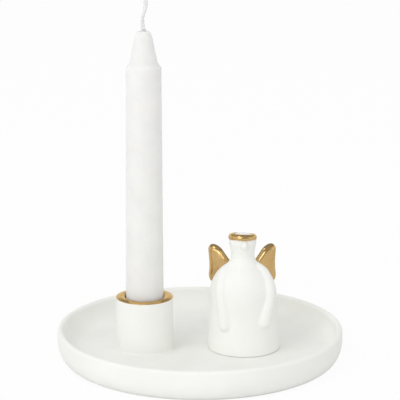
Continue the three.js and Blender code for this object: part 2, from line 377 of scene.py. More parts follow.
def noise(graph, place, scale, detail=2.0, roughness=0.5, distortion=0.0):
    """Noise from nought to one, with about this many swells to a metre."""
    sockets = {"Vector": place, "Scale": scale, "Detail": detail}
    sockets.update({"Roughness": roughness, "Distortion": distortion})
    return graph.node("ShaderNodeTexNoise", None, sockets)


def attribute(graph, name):
    """A value that the mesh itself carries."""
    return graph.node("ShaderNodeAttribute", {"attribute_name": name}, None, 2)


def new_material(name, constants):
    """A material with its shader, whose fixed values are set on the shader itself."""
    material = bpy.data.materials.new(name)
    material.use_nodes = True
    shader = material.node_tree.nodes["Principled BSDF"]
    for socket, value in constants.items():
        shader.inputs[socket].default_value = value
    return material, shader, Graph(material.node_tree)


def feed(graph, shader, colour, roughness, height, strength, distance):
    """Joins a finish's colour, roughness and relief to its shader."""
    sockets = {"Height": height, "Strength": strength, "Distance": distance}
    relief = graph.node("ShaderNodeBump", None, sockets)
    for name, wire in (("Base Color", colour), ("Roughness", roughness), ("Normal", relief)):
        graph.tree.links.new(wire.socket, shader.inputs[name])


def bisque(name, raw_and_shade_below=None, raw_and_shade_inside=False):
    """Matt white porcelain with faint clouds, a fine tooth and small pits. A foot can be left raw and darker:
    partly raw porcelain, partly painted shade at the foot and inside.
    """
    material, shader, g = new_material(name, {"IOR": 1.5, "Specular IOR Level": 0.28})
    place = object_place(g)
    clouds = noise(g, place, 42.0, detail=3.0, roughness=0.55)
    tooth = noise(g, place, 2600.0, detail=3.0, roughness=0.6)
    swell = noise(g, place, 190.0, detail=2.0, roughness=0.5)
    pits = g.node("ShaderNodeTexVoronoi", None, {"Vector": place, "Scale": 620.0})
    rare = g.spread(noise(g, place, 260.0, detail=1.0), 0.60, 0.72)
    pit = (1.0 - g.spread(pits, 0.06, 0.2, smooth=True)) * rare
    colour = g.mix(g.spread(clouds, 0.32, 0.68), *BISQUE_COLOURS)
    # The pits are painted darker: painted shade in them
    colour = g.mix(pit * 0.35, colour, PIT_SHADE_COLOUR)
    roughness = 0.60 + clouds * 0.10 + tooth * 0.10
    if raw_and_shade_below is not None:
        level = g.node("ShaderNodeSeparateXYZ", None, {"Vector": place}, 2)
        uneven = level + (tooth - 0.5) * (RAW_AND_SHADE_WANDER * MM)
        raw = 1.0 - g.spread(uneven, raw_and_shade_below, raw_and_shade_below + RAW_AND_SHADE_EDGE * MM)
        if raw_and_shade_inside:
            raw = g.math("MAXIMUM", raw, attribute(g, "raw"))
        # The darker raw colour is partly raw porcelain and partly painted shade at the foot and inside the
        # figure
        colour = g.mix(raw, colour, RAW_AND_SHADE_COLOUR)
        roughness = roughness + raw * 0.12
    height = tooth * 0.5 + swell * 0.9 - pit * 1.5
    feed(g, shader, colour, roughness, height, strength=0.55, distance=0.00003)
    return material


def gold_lustre(name, along=(1.0, 1.0, 1.0)):
    """Gold lustre on porcelain: it pools in clouds, is darker at the wings' rims, partly where it burns thin
    and partly as a painted dark reflection, and keeps brush marks.
    """
    constants = {"Metallic": 0.9, "IOR": 1.5, "Specular Tint": (*GOLD_TINT, 1.0)}
    material, shader, g = new_material(name, constants)
    place = object_place(g)
    pools = noise(g, place, 170.0, detail=3.0, roughness=0.6, distortion=0.6)
    strokes = noise(g, object_place(g, along), 900.0, detail=4.0, roughness=0.6)
    tooth = noise(g, place, 3800.0, detail=2.0, roughness=0.5)
    tone = g.spread(pools * 0.75 + strokes * 0.25, 0.30, 0.66)
    colour = g.mix(tone, *GOLD_COLOURS)
    # Darker at the wings' rims: partly lustre burnt thin there, partly a painted dark reflection
    colour = g.mix(attribute(g, "rim") * 0.3, colour, GOLD_RIM_AND_SHADE_COLOUR)
    specks = g.spread(noise(g, place, 1500.0, detail=1.0), 0.76, 0.84)
    colour = g.mix(specks * 0.4, colour, GOLD_SPECK_COLOUR)
    roughness = 0.09 + tone * 0.05 + strokes * 0.07 + specks * 0.2
    height = pools * 0.6 + strokes * 0.12 + tooth * 0.03
    feed(g, shader, colour, roughness, height, strength=0.5, distance=0.00006)
    return material


def candle_wax(name):
    """White candle wax: a little light passes into it, with faint clouds and drawn lines."""
    constants = {
        "IOR": 1.44,
        "Specular IOR Level": 0.25,
        "Subsurface Weight": 0.6,
        "Subsurface Radius": (1.0, 0.92, 0.8),
        "Subsurface Scale": 0.008,
    }
    material, shader, g = new_material(name, constants)
    place = object_place(g)
    clouds = noise(g, place, 75.0, detail=4.0, roughness=0.6)
    frost = noise(g, place, 900.0, detail=3.0, roughness=0.65)
    drawn = noise(g, object_place(g, (1.0, 1.0, 0.035)), 1500.0, detail=2.0, roughness=0.5)
    colour = g.mix(g.spread(clouds, 0.3, 0.7), *WAX_COLOURS)
    colour = g.mix(g.spread(frost, 0.58, 0.75) * 0.3, colour, FROST_COLOUR)
    roughness = 0.44 + clouds * 0.12 + frost * 0.10
    height = drawn * 0.8 + frost * 0.35 + noise(g, place, 110.0, detail=1.0) * 0.8
    feed(g, shader, colour, roughness, height, strength=0.5, distance=0.00004)
    return material


def wick_cotton(name):
    """Cotton with wax in it, its fibres along the wick."""
    material, shader, g = new_material(name, {"IOR": 1.45, "Specular IOR Level": 0.3})
    place = object_place(g)
    fibre = noise(g, object_place(g, (1.0, 1.0, 0.25)), 5200.0, detail=3.0, roughness=0.7)
    clumps = noise(g, place, 700.0, detail=2.0, roughness=0.5)
    colour = g.mix(g.spread(fibre * 0.6 + clumps * 0.4, 0.35, 0.65), *COTTON_COLOURS)
    roughness = 0.55 + clumps * 0.3
    feed(g, shader, colour, roughness, fibre + clumps * 0.6, strength=0.8, distance=0.00008)
    return material


# Geometry node pieces
def new_tree(name, floats, whole):
    """A geometry tree with its named inputs. Returns the graph and its inputs by name."""
    tree = bpy.data.node_groups.new(name, "GeometryNodeTree")
    tree.interface.new_socket(name="Geometry", in_out="OUTPUT", socket_type="NodeSocketGeometry")
    for label in floats:
        tree.interface.new_socket(name=label, in_out="INPUT", socket_type="NodeSocketFloat")
    for label in whole:
        tree.interface.new_socket(name=label, in_out="INPUT", socket_type="NodeSocketInt")
    tree.interface.new_socket(name="Finish", in_out="INPUT", socket_type="NodeSocketMaterial")
    graph = Graph(tree)
    entry = tree.nodes.new("NodeGroupInput")
    return graph, {s.name: Wire(graph, s) for s in entry.outputs if s.name}


def finish_tree(graph, geometry, inputs):
    """Ends a tree in plain geometry that carries its finish."""
    real = graph.node("GeometryNodeRealizeInstances", None, {"Geometry": geometry})
    dressed = graph.node("GeometryNodeSetMaterial", None, {"Geometry": real, "Material": inputs["Finish"]})
    leave = graph.tree.nodes.new("NodeGroupOutput")
    graph.tree.links.new(dressed.socket, leave.inputs[0])


def grow(name, graph, values, finish):
    """Runs a tree on an empty mesh and returns its result as a plain mesh."""
    seed = bpy.data.objects.new(name + "_seed", bpy.data.meshes.new(name + "_seed"))
    bpy.context.scene.collection.objects.link(seed)
    modifier = seed.modifiers.new("grow", "NODES")
    modifier.node_group = graph.tree
    for item in graph.tree.interface.items_tree:
        if item.in_out == "INPUT":
            modifier[item.identifier] = finish if item.name == "Finish" else values[item.name]
    depsgraph = bpy.context.evaluated_depsgraph_get()
    mesh = bpy.data.meshes.new_from_object(seed.evaluated_get(depsgraph), depsgraph=depsgraph)
    bpy.data.objects.remove(seed)
    mesh.name = name
    return mesh


def index_switch(graph, data_type, values):
    """The value whose place in a list is the index of the point."""
    sockets = {i + 1: value for i, value in enumerate(values)}
    sockets[0] = graph.node("GeometryNodeInputIndex")
    settings = {"data_type": data_type, "items": len(values)}
    return graph.node("GeometryNodeIndexSwitch", settings, sockets)


def turned_tree(name, sizes, corners, closed):
    """A tree that turns a profile about Z. Corners are (radius, height, rounding) from its inputs."""
    graph, inputs = new_tree(name, sizes, ("Sides", "Arc steps"))
    profile = corners(inputs)
    # The profile runs round a circle of this radius, so it is drawn that much nearer to the axis.
    spindle = 0.1
    places = [graph.vector(radius - spindle, 0.0 - height) for radius, height, _ in profile]
    line = graph.node("GeometryNodeMeshLine", None, {"Count": len(profile)})
    sockets = {"Geometry": line, "Position": index_switch(graph, "VECTOR", places)}
    drawn = graph.node("GeometryNodeSetPosition", None, sockets)
    curve = graph.node("GeometryNodeMeshToCurve", None, {"Mesh": drawn})
    curve = graph.node("GeometryNodeSetSplineCyclic", None, {0: curve, "Cyclic": closed})
    rounds = index_switch(graph, "FLOAT", [rounding for _, _, rounding in profile])
    sockets = {"Curve": curve, "Count": inputs["Arc steps"], "Radius": rounds, "Limit Radius": True}
    curve = graph.node("GeometryNodeFilletCurve", {"mode": "POLY"}, sockets)
    sockets = {"Resolution": inputs["Sides"], "Radius": spindle}
    circle = graph.node("GeometryNodeCurvePrimitiveCircle", None, sockets)
    circle = graph.node("GeometryNodeSetCurveNormal", {"mode": "Z_UP"}, {"Curve": circle})
    shape = graph.node("GeometryNodeCurveToMesh", None, {"Curve": circle, "Profile Curve": curve})
    shape = graph.node("GeometryNodeMergeByDistance", None, {"Geometry": shape, "Distance": 1e-6})
    finish_tree(graph, shape, inputs)
    return graph


def turned(name, sizes, corners, finish, sides=192, arc_steps=8, closed=False):
    """A body turned about an upright axis, from sizes in millimetres."""
    graph = turned_tree(name + "_turning", list(sizes), corners, closed)
    values = {label: size * MM for label, size in sizes.items()}
    values.update({"Sides": sides, "Arc steps": arc_steps})
    return grow(name, graph, values, finish)


def translation(place):
    """A move by a number of millimetres along each axis."""
    return Matrix.Translation(Vector(place) * MM)


def settle(name, mesh, sharp=40.0):
    """Makes a mesh a piece: doubles merged, faces outward, smooth but for real edges."""
    work = bmesh.new()
    work.from_mesh(mesh)
    bmesh.ops.remove_doubles(work, verts=work.verts, dist=1e-6)
    bmesh.ops.dissolve_degenerate(work, edges=work.edges, dist=1e-7)
    bmesh.ops.recalc_face_normals(work, faces=work.faces)
    work.to_mesh(mesh)
    work.free()
    mesh.polygons.foreach_set("use_smooth", [True] * len(mesh.polygons))
    mesh.set_sharp_from_angle(angle=math.radians(sharp))
    piece = bpy.data.objects.new(name, mesh)
    bpy.context.scene.collection.objects.link(piece)
    return piece


def stand_in_socket(mesh):
    """Puts the candle's foot in the socket, a little out of true as it stands there."""
    shear = Matrix.Translation((CANDLE_SHIFT * MM, 0.0, 0.0))
    shear[0][2] = CANDLE_LEAN
    mesh.transform(translation((*CUP_PLACE, FLOOR_TOP + CUP_HEIGHT - SOCKET_DEPTH)) @ shear)


def dish(finish):
    """The tray: a floor on a foot ring and a wall that curves up from the foot to a round lip."""
    sizes = {
        "Radius": TRAY_RADIUS,
        "Height": TRAY_HEIGHT,
        "Wall": TRAY_WALL,
        "Floor": FLOOR_TOP,
        "Corner width": TRAY_CORNER_WIDTH,
        "Corner height": TRAY_CORNER_HEIGHT,
        "Inner corner": TRAY_INNER_CORNER,
        "Foot width": FOOT_RING_WIDTH,
        "Foot height": FOOT_RING_HEIGHT,
    }

    def corners(s):
        edge = s["Radius"] - s["Corner width"]
        foot = edge - s["Foot width"]
        inside = s["Radius"] - s["Wall"]
        lip = s["Wall"] * TRAY_LIP_SHARE
        inner_round, outer_round = (size * MM for size in FOOT_RING_ROUNDS)
        curve = []
        for turn in np.linspace(-90.0, 0.0, TRAY_CORNER_POINTS):
            out, up = math.cos(math.radians(turn)), math.sin(math.radians(turn))
            curve.append((edge + s["Corner width"] * out, s["Corner height"] * (1.0 + up), 0.0))
        return [
            (0.0 * s["Radius"], s["Foot height"], 0.0),
            (foot - FOOT_RING_SLOPE * MM, s["Foot height"], inner_round),
            (foot, 0.0 * MM, outer_round),
            *curve,
            (s["Radius"], s["Height"], lip),
            (inside, s["Height"], lip),
            (inside, s["Floor"], s["Inner corner"]),
            (0.0 * s["Radius"], s["Floor"], 0.0),
        ]

    return settle("tray_dish", turned("tray_dish", sizes, corners, finish, sides=256, arc_steps=14))


def cup(finish):
    """The candle cup, with a thin bead of slip round its foot."""
    sizes = {
        "Radius": CUP_RADIUS,
        "Socket radius": SOCKET_RADIUS,
        "Height": CUP_HEIGHT - LIP_HEIGHT,
        "Socket floor": CUP_HEIGHT - SOCKET_DEPTH,
    }

    def corners(s):
        return [
            (0.0 * s["Radius"], 0.0 * MM, 0.0),
            *((s["Radius"] + out * MM, up * MM, size * MM) for out, up, size in SLIP_BEAD),
            (s["Radius"], s["Height"], CUP_EDGE * MM),
            (s["Socket radius"], s["Height"], CUP_EDGE * MM),
            (s["Socket radius"], s["Socket floor"], SOCKET_FLOOR_ROUND * MM),
            (0.0 * s["Radius"], s["Socket floor"], 0.0),
        ]

    mesh = turned("cup_body", sizes, corners, finish, arc_steps=6)
    mesh.transform(translation((*CUP_PLACE, FLOOR_TOP)))
    return settle("cup_body", mesh)


def gilded_lip(finish):
    """The gold on the cup's domed lip, with a thin film that runs down into the socket."""
    sizes = {
        "Radius": CUP_RADIUS,
        "Socket radius": SOCKET_RADIUS,
        "Height": LIP_HEIGHT,
        "Round": LIP_ROUND,
        "Crest": LIP_CREST,
        "Crest round": LIP_CREST_ROUND,
    }

    def corners(s):
        outside = s["Radius"] + GOLD_PROUD[0] * MM
        inside = s["Socket radius"] - GOLD_PROUD[1] * MM
        return [
            (inside, -GOLD_DEPTH * MM, 0.0),
            (inside + GOLD_FILM * MM, -GOLD_DEPTH * MM, 0.0),
            (inside + GOLD_FILM * MM, -GOLD_LAP * MM, 0.0),
            (outside, -GOLD_LAP * MM, 0.0),
            (outside, s["Height"] * LIP_SHARES[0], s["Round"]),
            (inside + s["Crest"], s["Height"], s["Crest round"]),
            (inside, s["Height"] * LIP_SHARES[1], s["Round"]),
        ]

    mesh = turned("cup_gilding", sizes, corners, finish, arc_steps=10, closed=True)
    mesh.transform(translation((*CUP_PLACE, FLOOR_TOP + CUP_HEIGHT - LIP_HEIGHT)))
    return settle("cup_gilding", mesh)


def stick(finish):
    """The candle: a slightly tapered stick, a stepped shoulder, a cone and wax drawn up the wick."""
    sizes = {
        "Foot radius": CANDLE_FOOT,
        "Shoulder radius": CANDLE_SHOULDER,
        "Stick": CANDLE_STICK,
        "Length": CANDLE_LENGTH,
        "Step": CANDLE_STEP,
        "Step rise": CANDLE_STEP_RISE,
        "Tip radius": CANDLE_TIP,
        "Bore": WICK_BORE,
    }

    def corners(s):
        cone = s["Shoulder radius"] - s["Step"]
        start = s["Stick"] + s["Step rise"]
        bore, top = s["Bore"], s["Length"]

        def near(radius, height, corner):
            out, up, rounding = (size * MM for size in corner)
            return radius + out, height + up, rounding

        return [
            (bore, 0.0 * MM, 0.0),
            (s["Foot radius"], 0.0 * MM, CANDLE_FOOT_ROUND * MM),
            near(s["Shoulder radius"], s["Stick"], SHOULDER_CORNER),
            *(near(cone, start, corner) for corner in CONE_CORNERS),
            near(s["Tip radius"], top, TIP_CORNER),
            near(s["Tip radius"] * TIP_TOP_SHARE, top, TIP_TOP_CORNER),
            *(near(bore, top, corner) for corner in COLLAR_CORNERS),
        ]

    mesh = turned("candle_stick", sizes, corners, finish, sides=128, arc_steps=10, closed=True)
    stand_in_socket(mesh)
    return settle("candle_stick", mesh)


def wick(finish):
    """Three cotton strands braided flat; the braid slowly turns and leans over above the candle."""
    floats = (
        "Top", "Bore top", "Bend start", "Bend end", "Sway", "Lean X", "Lean Y",
        "Braid width", "Braid depth", "Strand radius", "Braid length", "Turn length",
    )
    graph, s = new_tree("wick_braiding", floats, ("Strands", "Steps", "Sides"))
    line = graph.node("GeometryNodeCurvePrimitiveLine", {"mode": "POINTS"}, {"End": graph.vector(z=s["Top"])})
    line = graph.node("GeometryNodeResampleCurve", {"mode": "COUNT"}, {"Curve": line, "Count": s["Steps"]})
    settings = {"domain": "SPLINE"}
    copies = graph.node("GeometryNodeDuplicateElements", settings, {"Geometry": line, "Amount": s["Strands"]})
    copy = Wire(graph, copies.socket.node.outputs["Duplicate Index"])
    place = graph.node("GeometryNodeInputPosition")
    height = graph.node("ShaderNodeSeparateXYZ", None, {"Vector": place}, 2)
    bend = graph.spread(height, s["Bend start"], s["Bend end"], smooth=True)
    sway_from, sway_to = (s["Bore top"] + size * MM for size in WICK_SWAY_SPAN)
    sway = graph.spread(height, sway_from, sway_to, smooth=True) * s["Sway"]
    phase = height / s["Braid length"] * (2 * math.pi) + copy / s["Strands"] * (2 * math.pi)
    across = graph.math("SINE", phase) * s["Braid width"]
    deep = graph.math("SINE", phase * 2.0) * s["Braid depth"]
    turn = (height - s["Bend start"]) / s["Turn length"] * (2 * math.pi) + BRAID_FIRST_TURN
    cosine, sine = graph.math("COSINE", turn), graph.math("SINE", turn)
    moved = graph.vector(
        across * cosine - deep * sine + bend * s["Lean X"] + sway,
        across * sine + deep * cosine + bend * s["Lean Y"],
        height,
    )
    strands = graph.node("GeometryNodeSetPosition", None, {"Geometry": copies, "Position": moved})
    sockets = {"Resolution": s["Sides"], "Radius": s["Strand radius"]}
    round_strand = graph.node("GeometryNodeCurvePrimitiveCircle", None, sockets)
    sockets = {"Curve": strands, "Profile Curve": round_strand, "Fill Caps": True}
    shape = graph.node("GeometryNodeCurveToMesh", None, sockets)
    finish_tree(graph, shape, s)
    values = {
        "Top": WICK_TOP * MM,
        "Bore top": CANDLE_LENGTH * MM,
        "Bend start": WICK_BEND[0] * MM,
        "Bend end": WICK_BEND[1] * MM,
        "Sway": WICK_SWAY * MM,
        "Lean X": WICK_LEAN[0] * MM,
        "Lean Y": WICK_LEAN[1] * MM,
        "Braid width": BRAID_WIDTH * MM,
        "Braid depth": BRAID_DEPTH * MM,
        "Strand radius": STRAND_RADIUS * MM,
        "Braid length": BRAID_LENGTH * MM,
        "Turn length": BRAID_TURN_LENGTH * MM,
        "Strands": 3,
        "Steps": 560,
        "Sides": 10,
    }
    mesh = grow("wick_braid", graph, values, finish)
    stand_in_socket(mesh)
    return settle("wick_braid", mesh, 60.0)


def halo(finish):
    """The halo: a bead laid round the crown, a little uneven as it was painted by hand."""
    floats = (
        "Radius", "Half width", "Upper", "Lower", "Height", "Tilt",
        "Run", "Dip", "Slope", "Lap", "Wander",
    )
    graph, s = new_tree("halo_bead", floats, ("Steps", "Sides"))

    def unit_circle(points):
        sockets = {"Vertices": points, "Radius": 1.0}
        return graph.node("GeometryNodeMeshCircle", {"fill_type": "NONE"}, sockets)

    ring = unit_circle(s["Steps"])
    section = unit_circle(s["Sides"])
    path = graph.node("GeometryNodeMeshToCurve", None, {"Mesh": ring})
    path = graph.node("GeometryNodeSetCurveNormal", {"mode": "Z_UP"}, {"Curve": path})
    tube = graph.node("GeometryNodeMeshToCurve", None, {"Mesh": section})
    # The bead starts as a ring whose tube is this much thinner, and is then shaped point by point.
    thinner = 10.0
    scale = (1.0 / thinner,) * 3
    tube = graph.node("GeometryNodeTransform", None, {"Geometry": tube, "Scale": scale})
    torus = graph.node("GeometryNodeCurveToMesh", None, {"Curve": path, "Profile Curve": tube})
    place = graph.node("GeometryNodeInputPosition")
    parts = graph.node("ShaderNodeSeparateXYZ", None, {"Vector": place}).socket.node
    x, y, z = (Wire(graph, socket) for socket in parts.outputs)
    reach = graph.math("SQRT", x * x + y * y)
    angle = graph.math("ARCTAN2", y, x)

    def toward(label):
        """One of the halo's swellings: its size at its place, falling off to both sides."""
        place, power, _ = HALO_SWELLINGS[label]
        return (graph.math("COSINE", angle - math.radians(place)) * 0.5 + 0.5) ** power * s[label]

    slow, quick = (graph.math("SINE", angle * waves + start) for waves, start in HALO_WAVES)
    wander = slow + quick * HALO_QUICK_SHARE
    across, along = (reach - 1.0) * thinner, z * thinner
    below = graph.spread(z, HALO_EQUATOR, -HALO_EQUATOR, smooth=True)
    power = graph.spread(z, HALO_EQUATOR, -HALO_EQUATOR, *HALO_SQUARENESS, smooth=True)
    square = graph.math("ABSOLUTE", across) ** power + graph.math("ABSOLUTE", along) ** power
    square = square ** (-1.0 / power)
    out = across * square * s["Half width"] + toward("Lap")
    half = (s["Upper"] + (s["Lower"] - s["Upper"]) * below) * (1.0 + wander * s["Wander"])
    half = half + below * toward("Run") - (1.0 - below) * (toward("Dip") + toward("Slope"))
    up = along * square * half
    flat = s["Radius"] + out
    tilted_y = graph.math("SINE", angle) * flat
    shape = graph.node("GeometryNodeSetPosition", None, {
        "Geometry": torus,
        "Position": graph.vector(
            graph.math("COSINE", angle) * flat,
            tilted_y * graph.math("COSINE", s["Tilt"]) + up * graph.math("SINE", s["Tilt"]),
            up * graph.math("COSINE", s["Tilt"]) - tilted_y * graph.math("SINE", s["Tilt"]) + s["Height"],
        ),
    })
    finish_tree(graph, shape, s)
    values = {
        "Radius": HALO_RADIUS * MM,
        "Half width": HALO_HALF_WIDTH * MM,
        "Upper": HALO_UPPER * MM,
        "Lower": HALO_LOWER * MM,
        "Height": HALO_HEIGHT * MM,
        "Tilt": math.radians(HALO_TILT),
        "Wander": HALO_WANDER,
        "Steps": 160,
        "Sides": 40,
    }
    values.update({label: size * MM for label, (_, _, size) in HALO_SWELLINGS.items()})
    mesh = grow("halo_gilding", graph, values, finish)
    place_on_figure(mesh)
    return settle("halo_gilding", mesh)


# The angel
def place_on_figure(mesh):
    """Leans a mesh with the figure and puts it where the figure stands."""
    points = np.empty(len(mesh.vertices) * 3)
    mesh.vertices.foreach_get("co", points)
    points = points.reshape(-1, 3)
    points[:, 0] += points[:, 2] * (LEAN / CROWN_HEIGHT) + ANGEL_PLACE[0] * MM
    points[:, 1] += ANGEL_PLACE[1] * MM
    points[:, 2] += FLOOR_TOP * MM
    mesh.vertices.foreach_set("co", points.ravel())
    mesh.update()


def mesh_from(name, points, faces, finish):
    """A mesh from points in millimetres."""
    mesh = bpy.data.meshes.new(name)
    mesh.from_pydata((np.asarray(points) * MM).tolist(), [], faces)
    mesh.materials.append(finish)
    return mesh


def ring_faces(rings, count):
    """The quads between closed rings of points."""
    row = np.arange(rings - 1)[:, None] * count
    column = np.arange(count)[None]
    after = (column + 1) % count
    corners = (row + column, row + after, row + count + after, row + count + column)
    return np.stack(corners, -1).reshape(-1, 4).tolist()


def resampled(line, count=None, step=None):
    """A polyline with evenly spaced points."""
    line = np.asarray(line, float)
    lengths = np.r_[0.0, np.cumsum(np.linalg.norm(np.diff(line, axis=0), axis=1))]
    count = count or int(round(lengths[-1] / step)) + 1
    marks = np.linspace(0.0, lengths[-1], count)
    return np.stack([np.interp(marks, lengths, line[:, i]) for i in range(line.shape[1])], 1)


def eased(line, width):
    """A polyline with its corners softened over a few points, its two ends kept."""
    kernel = np.exp(-0.5 * (np.arange(-3 * width, 3 * width + 1) / width) ** 2)
    kernel /= kernel.sum()
    pad = 3 * width
    padded = np.vstack([2 * line[0] - line[pad:0:-1], line, 2 * line[-1] - line[-2:-pad - 2:-1]])
    return np.stack([np.convolve(padded[:, i], kernel, "valid") for i in range(2)], 1)


def quadratic(start, pull, end, count):
    """A curve from start to end that bends towards one more point."""
    t = np.linspace(0.0, 1.0, count)[:, None]
    return (1 - t) ** 2 * np.array(start) + 2 * t * (1 - t) * np.array(pull) + t ** 2 * np.array(end)


def cubic(points, count):
    """A curve from the first of four points to the last that bends towards the other two."""
    t = np.linspace(0.0, 1.0, count)[:, None]
    a, b, c, d = np.array(points)
    return (1 - t) ** 3 * a + 3 * t * (1 - t) ** 2 * b + 3 * t ** 2 * (1 - t) * c + t ** 3 * d


def outer_profile():
    """The figure's outside, from the crown's top to the foot, as radius and height."""
    cheek = (CHEEK_RADIUS, CHEEK_HEIGHT)
    middle, edge = (CHEEK_RADIUS / 2, CROWN_HEIGHT), (CHEEK_RADIUS, CROWN_HEIGHT - CROWN_ROUND)
    top = cubic([(0.0, CROWN_HEIGHT), middle, edge, cheek], 40)
    throat = (NECK_RADIUS, (NECK_HEIGHT + CHEEK_HEIGHT) / 2)
    face = quadratic(cheek, throat, (NECK_RADIUS, NECK_HEIGHT), 30)
    start = math.acos(COLLAR_RADIUS / ROBE_SHOULDER)
    turn = np.linspace(start, 0.0, 60)
    dome = np.stack([ROBE_SHOULDER * np.cos(turn), SHOULDER_HEIGHT + SHOULDER_RISE * np.sin(turn)], 1)
    line = resampled(np.vstack([top, face[1:], dome, [(ROBE_FOOT, 0.0)]]), step=PROFILE_STEP)
    line = eased(line, PROFILE_SOFTNESS)
    turn = np.linspace(0.0, math.pi / 2, 9)[1:]
    low = line[line[:, 1] > FOOT_ROUND]
    round_foot = np.stack([ROBE_FOOT - FOOT_ROUND * (1 - np.cos(turn)), FOOT_ROUND * (1 - np.sin(turn))], 1)
    return np.vstack([low, [(ROBE_FOOT, FOOT_ROUND)], round_foot])


def arm_paths():
    """Each arm's middle line with its radius, from the shoulder to the hand."""
    paths = []
    for side in (1, -1):
        points = []
        for i, (angle, share, sink) in enumerate(zip(ARM_ANGLES[side], ARM_HEIGHTS, ARM_SINKS)):
            along = side * i / (len(ARM_HEIGHTS) - 1)
            height = NECK_HEIGHT * share + HAND_LIFT * along
            if height < SHOULDER_HEIGHT:
                radius = ROBE_FOOT + (ROBE_SHOULDER - ROBE_FOOT) * height / SHOULDER_HEIGHT
            else:
                radius = ROBE_SHOULDER * math.sqrt(1 - ((height - SHOULDER_HEIGHT) / SHOULDER_RISE) ** 2)
            radius -= ARM_RADIUS * sink
            turn = math.radians(angle)
            points.append((side * radius * math.sin(turn), -radius * math.cos(turn), height))
        line = resampled(smooth_line(points), ARM_POINTS)
        length = np.linalg.norm(np.diff(line, axis=0), axis=1).sum()
        keep = np.linspace(0.0, length, ARM_POINTS) < length - HAND_RADIUS
        line = line[keep]
        share = np.linspace(0.0, 1.0, len(line))
        radii = ARM_RADIUS + (HAND_RADIUS - ARM_RADIUS) * share
        paths.append((line, radii - ARM_FADE * np.clip(1.0 - share / ARM_FADE_SHARE, 0.0, 1.0) ** 2))
    return paths


def smooth_line(points, per_span=16):
    """A Catmull-Rom curve through the points."""
    points = np.asarray(points, float)
    ends = np.vstack([2 * points[0] - points[1], points, 2 * points[-1] - points[-2]])
    curve = []
    for a, b, c, d in zip(ends, ends[1:], ends[2:], ends[3:]):
        for t in np.linspace(0.0, 1.0, per_span, endpoint=False):
            square, cube = 2 * a - 5 * b + 4 * c - d, 3 * b - a - 3 * c + d
            curve.append(0.5 * (2 * b + (c - a) * t + square * t ** 2 + cube * t ** 3))
    curve.append(points[-1])
    return np.array(curve)


def distance_to_limb(points, line, radii):
    """How far points lie outside a limb of changing radius."""
    best = np.full(len(points), 1e3)
    for a, b, ra, rb in zip(line, line[1:], radii, radii[1:]):
        along = np.clip(((points - a) @ (b - a)) / ((b - a) @ (b - a)), 0.0, 1.0)
        gap = np.linalg.norm(points - a - along[:, None] * (b - a), axis=1)
        best = np.minimum(best, gap - (ra + (rb - ra) * along))
    return best


def soft_union(first, second, width):
    """The nearer of two distances, with the crease between them filled."""
    share = np.clip(0.5 + 0.5 * (second - first) / width, 0.0, 1.0)
    return second + (first - second) * share - width * share * (1.0 - share)


def figure(finish):
    """The hollow figure: robe, shoulders and head in one skin, with the arms and nose grown into it."""
    outline = resampled(outer_profile(), FIGURE_ROWS)
    tangent = np.gradient(outline, axis=0)
    tangent /= np.linalg.norm(tangent, axis=1)[:, None]
    normal = np.stack([-tangent[:, 1], tangent[:, 0]], 1)
    normal[0] = (0.0, 1.0)
    angle = np.linspace(0.0, 2 * math.pi, FIGURE_COLUMNS, endpoint=False)
    radial = np.stack([np.cos(angle), np.sin(angle)], 1)

    def spun(profile):
        flat = profile[:, None, 0, None] * radial[None]
        high = np.repeat(profile[:, 1, None], FIGURE_COLUMNS, 1)[..., None]
        return np.concatenate([flat, high], 2).reshape(-1, 3)

    skin, away = spun(outline), spun(normal)
    lift = np.zeros(len(skin))
    arms = arm_paths()
    nose_middle = np.array([NOSE_SIDE, -NOSE_DEPTH, NOSE_HEIGHT])
    low, high = GROWTH_HEIGHTS
    near = (skin[:, 1] < GROWTH_BACK) & (skin[:, 2] > low) & (skin[:, 2] < high)
    lift[near] = GROWTH_REACH
    for _ in range(GROWTH_STEPS):
        points = skin[near] + away[near] * lift[near, None]
        gap = lift[near].copy()
        for line, radii in arms:
            gap = soft_union(distance_to_limb(points, line, radii), gap, ARM_CREASE)
        nose = (np.linalg.norm((points - nose_middle) / NOSE_SIZE, axis=1) - 1.0) * min(NOSE_SIZE)
        gap = soft_union(nose, gap, NOSE_CREASE)
        lift[near] -= gap * GROWTH_GAIN
    lift = np.maximum(lift, 0.0)
    skin = skin + away * lift[:, None]

    wall = ROBE_FOOT - ROBE_WALL
    foot = [(ROBE_FOOT - FOOT_ROUND - FOOT_FACE_INSET, 0.0), (wall + FOOT_INNER_EDGE, 0.0)]
    foot.append((wall, FOOT_INNER_EDGE))
    turn = np.linspace(0.0, math.pi / 2, 24)
    rise = (SHOULDER_RISE - 2 * ROBE_WALL) * np.sin(turn)
    ceiling = np.stack([(ROBE_SHOULDER - ROBE_WALL) * np.cos(turn), SHOULDER_HEIGHT + rise], 1)
    inside = np.vstack([foot, resampled(np.vstack([foot[-1], ceiling[0]]), 12)[1:-1], ceiling])
    points = np.vstack([skin, spun(inside)])
    faces = ring_faces(len(outline) + len(inside), FIGURE_COLUMNS)
    mesh = mesh_from("angel_skin", points, faces, finish)
    # The inside takes the darker raw colour: partly raw porcelain, partly painted shade inside the hollow
    raw = np.r_[np.zeros(len(skin)), np.ones(len(points) - len(skin))]
    mesh.attributes.new("raw", "FLOAT", "POINT").data.foreach_set("value", raw.astype(np.float32))
    place_on_figure(mesh)
    return settle("angel_skin", mesh, 50.0)


def around(rows, width):
    """Rows of values round a closed line, each softened along the line."""
    reach = int(3 * width)
    shifts = np.arange(-reach, reach + 1)
    weights = np.exp(-0.5 * (shifts / width) ** 2)
    weights /= weights.sum()
    return sum(np.roll(rows, shift, axis=1) * weight for shift, weight in zip(shifts, weights))


